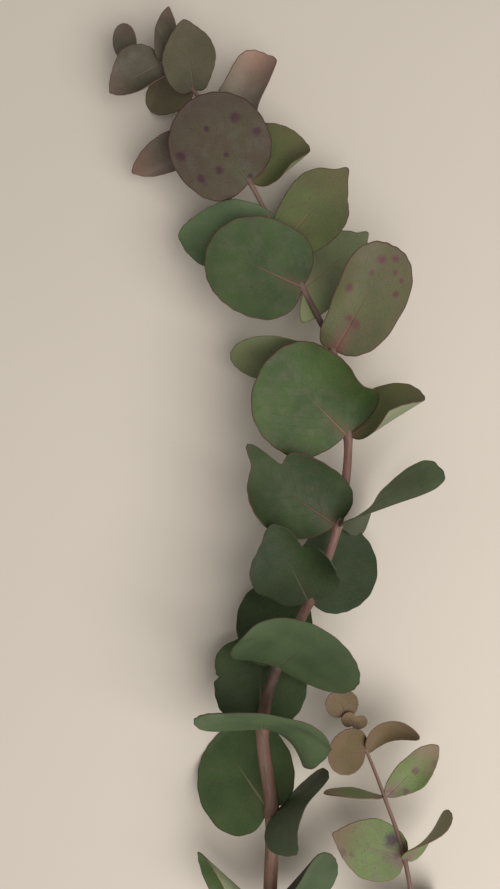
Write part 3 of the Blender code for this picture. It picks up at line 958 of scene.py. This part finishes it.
def add_stem(name, joints, seed):
    """One stem as a closed tube with faint winding ribs and two cut ends."""
    centres, radii, distance = stem_samples(joints)
    phases = np.random.default_rng(seed).uniform(0, 7, len(RIBS))
    turns = math.tau * np.arange(STEM_SIDES) / STEM_SIDES
    points, bark = [], []
    for centre, radius, far, (side, other) in zip(centres, radii, distance, stem_sides(centres)):
        uneven = 1
        for (count, height, wind), phase in zip(RIBS, phases):
            uneven = uneven + height * np.sin(count * turns + phase + far / wind)
        ring = np.outer(np.cos(turns), side) + np.outer(np.sin(turns), other)
        points.append(centre + ring * (radius * uneven)[:, None])
        bark.append(np.stack((turns * radius, np.full(STEM_SIDES, far), turns), 1))
    around = np.arange(STEM_SIDES)
    after = (around + 1) % STEM_SIDES
    faces = []
    for row in range(len(centres) - 1):
        low = row * STEM_SIDES
        high = low + STEM_SIDES
        faces += np.stack((low + around, low + after, high + after, high + around), 1).tolist()
    walls = len(faces)
    for end, flip in ((0, True), (len(centres) - 1, False)):
        edge = end * STEM_SIDES + around
        for share in CUT_RINGS:
            inner = len(points) * STEM_SIDES + around
            points.append(centres[end] + (points[end] - centres[end]) * share)
            bark.append(np.stack((0 * turns + share, 0 * turns, turns), 1))
            faces += face_list(np.stack((edge, edge[after], inner[after], inner), 1), flip)
            edge = inner
        faces += face_list(edge[None], flip)
    mesh = bpy.data.meshes.new(name)
    mesh.from_pydata((np.vstack(points) * MM + ORIGIN).tolist(), [], faces)
    store(mesh, "bark", "FLOAT_VECTOR", np.vstack(bark))
    mesh.shade_smooth()
    mesh.set_sharp_from_angle(angle=math.radians(60))
    slots = [BARK_SLOT] * walls + [CUT_SLOT] * (len(faces) - walls)
    mesh.polygons.foreach_set("material_index", slots)
    return add_object(name, mesh)


# Paints

def link(tree, start, end):
    tree.links.new(start, end)


def set_input(tree, socket, value):
    """Joins the socket to another socket, or sets its own number or colour."""
    if isinstance(value, bpy.types.NodeSocket):
        link(tree, value, socket)
    elif isinstance(value, tuple) and len(value) == 3 and len(socket.default_value) == 4:
        socket.default_value = (*value, 1.0)
    else:
        socket.default_value = value


def maths(tree, operation, *values):
    node = tree.nodes.new("ShaderNodeMath")
    node.operation = operation
    for socket, value in zip(node.inputs, values):
        set_input(tree, socket, value)
    return node.outputs[0]


def plus(tree, first, second):
    return maths(tree, "ADD", first, second)


def minus(tree, first, second):
    return maths(tree, "SUBTRACT", first, second)


def times(tree, first, second):
    return maths(tree, "MULTIPLY", first, second)


def ramp(tree, value, low, high, to_low=0.0, to_high=1.0):
    """A smooth step of the value from low to high."""
    node = tree.nodes.new("ShaderNodeMapRange")
    node.interpolation_type = "SMOOTHSTEP"
    for socket, number in zip(node.inputs, (value, low, high, to_low, to_high)):
        set_input(tree, socket, number)
    return node.outputs[0]


def mix(tree, share, first, second, blend="MIX"):
    node = tree.nodes.new("ShaderNodeMix")
    node.data_type = "RGBA"
    node.blend_type = blend
    set_input(tree, node.inputs[0], share)
    set_input(tree, node.inputs[6], first)
    set_input(tree, node.inputs[7], second)
    return node.outputs[2]


def attribute(tree, name):
    node = tree.nodes.new("ShaderNodeAttribute")
    node.attribute_name = name
    return node


def parts(tree, vector):
    node = tree.nodes.new("ShaderNodeSeparateXYZ")
    link(tree, vector, node.inputs[0])
    return node.outputs


def noise(tree, place, scale, detail=3.0):
    node = tree.nodes.new("ShaderNodeTexNoise")
    link(tree, place, node.inputs["Vector"])
    node.inputs["Scale"].default_value = scale
    node.inputs["Detail"].default_value = detail
    return node.outputs["Fac"]


def voronoi(tree, place, scale, feature="F1"):
    node = tree.nodes.new("ShaderNodeTexVoronoi")
    node.feature = feature
    link(tree, place, node.inputs["Vector"])
    node.inputs["Scale"].default_value = scale
    return node


def scaled(tree, place, size):
    node = tree.nodes.new("ShaderNodeVectorMath")
    node.operation = "MULTIPLY"
    link(tree, place, node.inputs[0])
    node.inputs[1].default_value = size
    return node.outputs[0]


def bump(tree, height, strength, distance):
    node = tree.nodes.new("ShaderNodeBump")
    node.inputs["Strength"].default_value = strength
    node.inputs["Distance"].default_value = distance * MM
    link(tree, height, node.inputs["Height"])
    return node.outputs[0]


def new_material(name):
    material = bpy.data.materials.new(name)
    material.use_nodes = True
    tree = material.node_tree
    return material, tree, tree.nodes["Principled BSDF"]


def leaf_veins(tree, along, across, place, edge):
    """Masks for the midrib, the side veins and the fine net between them."""
    off = maths(tree, "ABSOLUTE", across)
    share = parts(tree, attribute(tree, "share").outputs["Vector"])[0]
    half_width = ramp(tree, share, 0.0, 0.8, MIDRIB_AT_FOOT, MIDRIB_AT_TIP)
    midrib = ramp(tree, off, times(tree, half_width, 0.45), half_width, 1.0, 0.0)
    midrib = times(tree, midrib, ramp(tree, share, 0.28, 0.62, 1.0, 0.1))
    start = minus(tree, along, times(tree, off, VEIN_LEAN))
    start = minus(tree, start, times(tree, times(tree, off, off), VEIN_BOW))
    start = plus(tree, start, times(tree, noise(tree, place, 0.09, 2.0), VEIN_STRAY))
    start = plus(tree, start, times(tree, maths(tree, "SIGN", across), VEIN_SHIFT))
    wedge = maths(tree, "PINGPONG", start, HALF_VEIN_SPACING)
    veins = ramp(tree, wedge, 0.04, 0.24, 1.0, 0.0)
    fade = times(tree, ramp(tree, edge, 0.55, 0.98, 1.0, 0.0), noise(tree, place, 0.3))
    veins = times(tree, veins, fade)
    net = voronoi(tree, place, 0.55, "DISTANCE_TO_EDGE").outputs["Distance"]
    net = ramp(tree, net, 0.0, 0.09, 1.0, 0.0)
    return midrib, veins, net


def blade_ground(tree, finish, broad, fine):
    """The two greens of the upper face, in broad patches and with a fine grain."""
    colour = mix(tree, ramp(tree, broad, 0.35, 0.65), finish.blade, finish.shade)
    grain = ramp(tree, fine, 0.3, 0.7, 0.86, 1.14)
    return mix(tree, 1.0, colour, grey(tree, grain), "MULTIPLY")


def reddened(tree, colour, finish, share, across, cloudy):
    """The colour with the flush about its foot and in clouds, and with the tint of its tip."""
    foot = times(tree, ramp(tree, share, 0.0, 0.42, 1.0, 0.0), finish.flush_share)
    beside = ramp(tree, maths(tree, "ABSOLUTE", across), 0.5, 7.0, 1.0, 0.0)
    foot = times(tree, foot, beside)
    patchy = times(tree, ramp(tree, cloudy, 0.42, 0.75), finish.flush_share * 0.35)
    colour = mix(tree, maths(tree, "MAXIMUM", foot, patchy), colour, finish.flush)
    if finish.tip_share:
        far = ramp(tree, plus(tree, share, times(tree, cloudy, 0.3)), 0.6, 1.15)
        colour = mix(tree, times(tree, far, finish.tip_share), colour, finish.tip)
    return colour


def veined(tree, colour, finish, midrib, veins, net):
    """The colour with the net, the side veins and the midrib over it."""
    colour = mix(tree, times(tree, net, 0.10 * finish.vein_share), colour, finish.vein)
    colour = mix(tree, times(tree, veins, 0.35 * finish.vein_share), colour, finish.vein)
    return mix(tree, times(tree, midrib, finish.vein_share), colour, finish.vein)


def blotched(tree, colour, finish, place):
    """The colour with its scattered spots and single stains."""
    if finish.spot_share:
        colour = mix(tree, leaf_spots(tree, place, finish.spot_share), colour, finish.spot)
    for ahead, right, radius in finish.stains:
        stain = leaf_stain(tree, place, ahead, right, radius)
        colour = mix(tree, stain, colour, finish.spot)
    return colour


def leaf_relief(tree, midrib, veins, net, upper, fine, cloudy):
    """Veins sunk into the upper face and standing out from the lower one, and small dents."""
    relief = times(tree, midrib, -1.0)
    relief = minus(tree, relief, times(tree, veins, 0.45))
    relief = minus(tree, relief, times(tree, net, 0.12))
    facing = minus(tree, times(tree, upper, 2.0), 1.0)
    relief = times(tree, relief, facing)
    relief = plus(tree, relief, times(tree, fine, 0.25))
    return plus(tree, relief, times(tree, cloudy, 0.8))


def leaf_material(name, finish):
    """The paint of one finish, which reads the numbers kept in each leaf's mesh."""
    material, tree, shader = new_material(name)
    place = attribute(tree, "flat").outputs["Vector"]
    along, across, _ = parts(tree, place)
    share, _, edge = parts(tree, attribute(tree, "share").outputs["Vector"])
    upper = attribute(tree, "upper").outputs["Fac"]
    painted_light_and_shade_factor = attribute(tree, "tone").outputs["Fac"]
    broad = noise(tree, place, BROAD_PATCHES, 3.0)
    cloudy = noise(tree, place, CLOUDS, 5.0)
    fine = noise(tree, place, GRAIN, 4.0)
    midrib, veins, net = leaf_veins(tree, along, across, place, edge)

    colour = blade_ground(tree, finish, broad, fine)
    colour = reddened(tree, colour, finish, share, across, cloudy)
    bloom = times(tree, ramp(tree, cloudy, 0.25, 0.8, 0.35, 1.0), finish.bloom_share)
    colour = mix(tree, times(tree, bloom, upper), colour, BLOOM_COLOUR)
    colour = veined(tree, colour, finish, midrib, veins, net)
    colour = blotched(tree, colour, finish, place)
    below = mix(tree, times(tree, midrib, 0.6), finish.under, finish.vein)
    colour = mix(tree, minus(tree, 1.0, upper), colour, below)
    # The colour is lightened or darkened by the leaf's painted light and shade.
    colour = mix(tree, 1.0, colour, grey(tree, painted_light_and_shade_factor), "MULTIPLY")
    rim = times(tree, ramp(tree, edge, 0.966, 0.993), finish.rim_share)
    rim = times(tree, rim, ramp(tree, cloudy, 0.2, 0.55, 0.45, 1.0))
    colour = mix(tree, rim, colour, finish.margin)
    link(tree, colour, shader.inputs["Base Color"])
    link(tree, ramp(tree, cloudy, 0.25, 0.75, 0.62, 0.5), shader.inputs["Roughness"])
    relief = leaf_relief(tree, midrib, veins, net, upper, fine, cloudy)
    link(tree, bump(tree, relief, 0.7, 0.35), shader.inputs["Normal"])
    shader.inputs["Specular IOR Level"].default_value = 0.3
    return material


def grey(tree, value):
    """A grey of the given value."""
    node = tree.nodes.new("ShaderNodeCombineColor")
    for socket in node.inputs:
        link(tree, value, socket)
    return node.outputs[0]


def leaf_stain(tree, place, ahead, right, radius):
    """One soft, ragged blotch, this far along the midrib and to its right."""
    along, across, _ = parts(tree, place)
    ahead = minus(tree, along, float(ahead))
    aside = minus(tree, across, float(right))
    square = plus(tree, times(tree, ahead, ahead), times(tree, aside, aside))
    ragged = times(tree, noise(tree, place, 0.6), 0.9 * radius)
    away = plus(tree, maths(tree, "SQRT", square), ragged)
    return ramp(tree, away, 0.8 * radius, 1.9 * radius, 0.85, 0.0)


def leaf_spots(tree, place, spot_share):
    """Scattered round blotches of several sizes, and fine specks."""
    large = voronoi(tree, place, 0.22)
    chosen = parts(tree, large.outputs["Color"])[0]
    chosen = ramp(tree, chosen, 1.0 - 0.5 * spot_share, 1.3 - 0.5 * spot_share)
    blur = times(tree, noise(tree, place, 0.7), 0.6)
    blotch = ramp(tree, plus(tree, large.outputs["Distance"], blur), 0.48, 0.86, 1.0, 0.0)
    blotch = times(tree, times(tree, blotch, chosen), 0.85)
    small = voronoi(tree, place, 0.9)
    picked = parts(tree, small.outputs["Color"])[1]
    picked = ramp(tree, picked, 1.0 - 0.2 * spot_share, 1.01 - 0.2 * spot_share)
    speck = times(tree, ramp(tree, small.outputs["Distance"], 0.15, 0.4, 1.0, 0.0), picked)
    return maths(tree, "MAXIMUM", blotch, times(tree, speck, 0.6))


def bark_material(name, low, high, top, length, shadow_and_dark_places=()):
    """Smooth young bark in three colours from the cut end up, with streaks, pale specks and darkened
    places, some of them painted shadow.
    """
    material, tree, shader = new_material(name)
    place = attribute(tree, "bark").outputs["Vector"]
    distance = parts(tree, place)[1]
    streaks = noise(tree, scaled(tree, place, (1.6, 0.12, 1.0)), 1.0, 4.0)
    cloudy = noise(tree, scaled(tree, place, (0.25, 0.05, 0.3)), 1.0, 3.0)
    colour = mix(tree, ramp(tree, distance, 0.1 * length, 0.55 * length), low, high)
    colour = mix(tree, ramp(tree, distance, 0.5 * length, 0.95 * length), colour, top)
    # Each dark place darkens the bark about its distance from the cut end; some are painted shadow.
    for dark in shadow_and_dark_places:
        off = maths(tree, "ABSOLUTE", minus(tree, distance, dark))
        colour = mix(tree, ramp(tree, off, DARK_REACH, DARK_END, 0.75, 0.0), colour, SHADOW_AND_DARK_BARK)
    colour = mix(tree, ramp(tree, streaks, 0.35, 0.75, 0.0, 0.55), colour, BARK_STREAK)
    colour = mix(tree, ramp(tree, cloudy, 0.45, 0.7, 0.0, 0.3), colour, BARK_CLOUD)
    specks = voronoi(tree, scaled(tree, place, (0.8, 0.45, 1.0)), 1.0)
    dots = ramp(tree, specks.outputs["Distance"], 0.08, 0.2, 0.5, 0.0)
    colour = mix(tree, dots, colour, BARK_SPECK)
    link(tree, colour, shader.inputs["Base Color"])
    relief = plus(tree, streaks, times(tree, dots, 0.6))
    link(tree, bump(tree, relief, 0.6, 0.25), shader.inputs["Normal"])
    link(tree, ramp(tree, cloudy, 0.3, 0.7, 0.55, 0.7), shader.inputs["Roughness"])
    return material


def cut_material(name):
    """The cut face: green-white wood under thin bark, with a darker pith."""
    material, tree, shader = new_material(name)
    place = attribute(tree, "bark").outputs["Vector"]
    out = parts(tree, place)[0]
    colour = mix(tree, ramp(tree, out, 0.12, 0.34), PITH_COLOUR, WOOD_COLOUR)
    colour = mix(tree, ramp(tree, out, 0.86, 0.96), colour, CUT_BARK_COLOUR)
    rays = noise(tree, scaled(tree, place, (2.0, 0.0, 9.0)), 1.0, 3.0)
    colour = mix(tree, ramp(tree, rays, 0.4, 0.7, 0.0, 0.4), colour, WOOD_RAY_COLOUR)
    link(tree, colour, shader.inputs["Base Color"])
    link(tree, bump(tree, rays, 0.5, 0.2), shader.inputs["Normal"])
    shader.inputs["Roughness"].default_value = 0.8
    return material


def floor_material():
    material, tree, shader = new_material("floor")
    place = tree.nodes.new("ShaderNodeTexCoord").outputs["Object"]
    grain = noise(tree, place, 9.0, 2.0)
    paler = tuple(min(1.0, c * 1.05) for c in FLOOR_COLOUR)
    link(tree, mix(tree, grain, FLOOR_COLOUR, paler), shader.inputs["Base Color"])
    shader.inputs["Roughness"].default_value = 0.85
    return material


# The scene

def find_origin():
    """Where the joints' frame has its origin: its cut end lies on the solid's cut end."""
    cut_end = 1.5 * MM
    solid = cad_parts["leafy_main_stem"].data
    points = np.empty(len(solid.vertices) * 3)
    solid.vertices.foreach_get("co", points)
    points = points.reshape(-1, 3)
    cut = points[points[:, 1] < points[:, 1].min() + cut_end]
    middle = (cut.min(0) + cut.max(0)) / 2
    return middle - joint_places(MAIN_STEM)[0] * MM


ORIGIN = find_origin()


def dress(stem_name, node, joints, leaves, bark, seed):
    """A stem and its leaves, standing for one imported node."""
    stem = add_stem(stem_name, joints, seed)
    stem.data.materials.append(bark)
    stem.data.materials.append(PAINTS["cut"])
    pieces = [stem]
    counts = {}
    for number, leaf in enumerate(leaves):
        pair = counts.get(leaf.node, 0)
        counts[leaf.node] = pair + 1
        name = f"{leaf.node}_{'ab'[pair]}"
        look = LOOKS[name]
        piece = add_leaf("leaf_" + name, leaf, look, joints, seed + number + 1)
        piece.data.materials.append(PAINTS[look.finish])
        pieces.append(piece)
    for piece in pieces:
        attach(piece, "root")
        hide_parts(node)


PAINTS = {name: leaf_material("leaf_" + name, finish) for name, finish in FINISHES.items()}
PAINTS["cut"] = cut_material("cut_wood")
MAIN_BARK = bark_material(
    "main_bark",
    low=(0.15, 0.083, 0.050),
    high=(0.19, 0.088, 0.066),
    top=(0.20, 0.125, 0.10),
    length=540,
    # At 223 mm the bark is darkened as painted shadow of the leaf hanging over it; at 396 mm it is
    # darker.
    shadow_and_dark_places=(223, 396),
)
SHOOT_BARK = bark_material(
    "shoot_bark",
    low=(0.16, 0.085, 0.062),
    high=(0.17, 0.09, 0.07),
    top=(0.17, 0.09, 0.06),
    length=190,
)

# The random numbers of a leaf come from its stem's seed and its place in the table.
MAIN_SEED = 10
SHOOT_SEED = 60

dress("main_stem", "leafy_main_stem", MAIN_STEM, MAIN_LEAVES, MAIN_BARK, MAIN_SEED)
dress("side_shoot", "leafy_side_shoot", SIDE_SHOOT, SIDE_LEAVES, SHOOT_BARK, SHOOT_SEED)


def add_floor():
    bpy.ops.mesh.primitive_plane_add(size=FLOOR_SIZE, location=(0, 0, -FLOOR_DROP))
    floor = bpy.context.object
    floor.name = "floor"
    floor.data.materials.append(floor_material())


def add_light(name, place, aim, size, power, colour):
    light = bpy.data.lights.new(name, "AREA")
    light.size = size
    light.energy = power
    light.color = colour
    holder = bpy.data.objects.new(name, light)
    holder.location = place
    holder.rotation_euler = (Vector(aim) - Vector(place)).to_track_quat("-Z", "Y").to_euler()
    bpy.context.scene.collection.objects.link(holder)


def add_camera():
    camera = bpy.data.cameras.new("camera")
    camera.lens = LENS
    camera.sensor_width = SENSOR
    camera.clip_start = 0.01
    holder = bpy.data.objects.new("camera", camera)
    height = (CAMERA_ABOVE_STEM + STEM_HEIGHT) * MM
    holder.location = Vector(ORIGIN) + Vector((0, 0, height))
    bpy.context.scene.collection.objects.link(holder)
    bpy.context.scene.camera = holder


def add_world(colour, strength):
    world = bpy.data.worlds.new("studio")
    world.use_nodes = True
    background = world.node_tree.nodes["Background"]
    background.inputs["Color"].default_value = (*colour, 1.0)
    background.inputs["Strength"].default_value = strength
    bpy.context.scene.world = world


add_floor()
add_camera()
add_world(WORLD_COLOUR, WORLD_STRENGTH)
add_light("window", LAMP_PLACE, LAMP_AIM, LAMP_SIZE, LAMP_POWER, LAMP_COLOUR)

bpy.context.scene.view_settings.view_transform = "Standard"
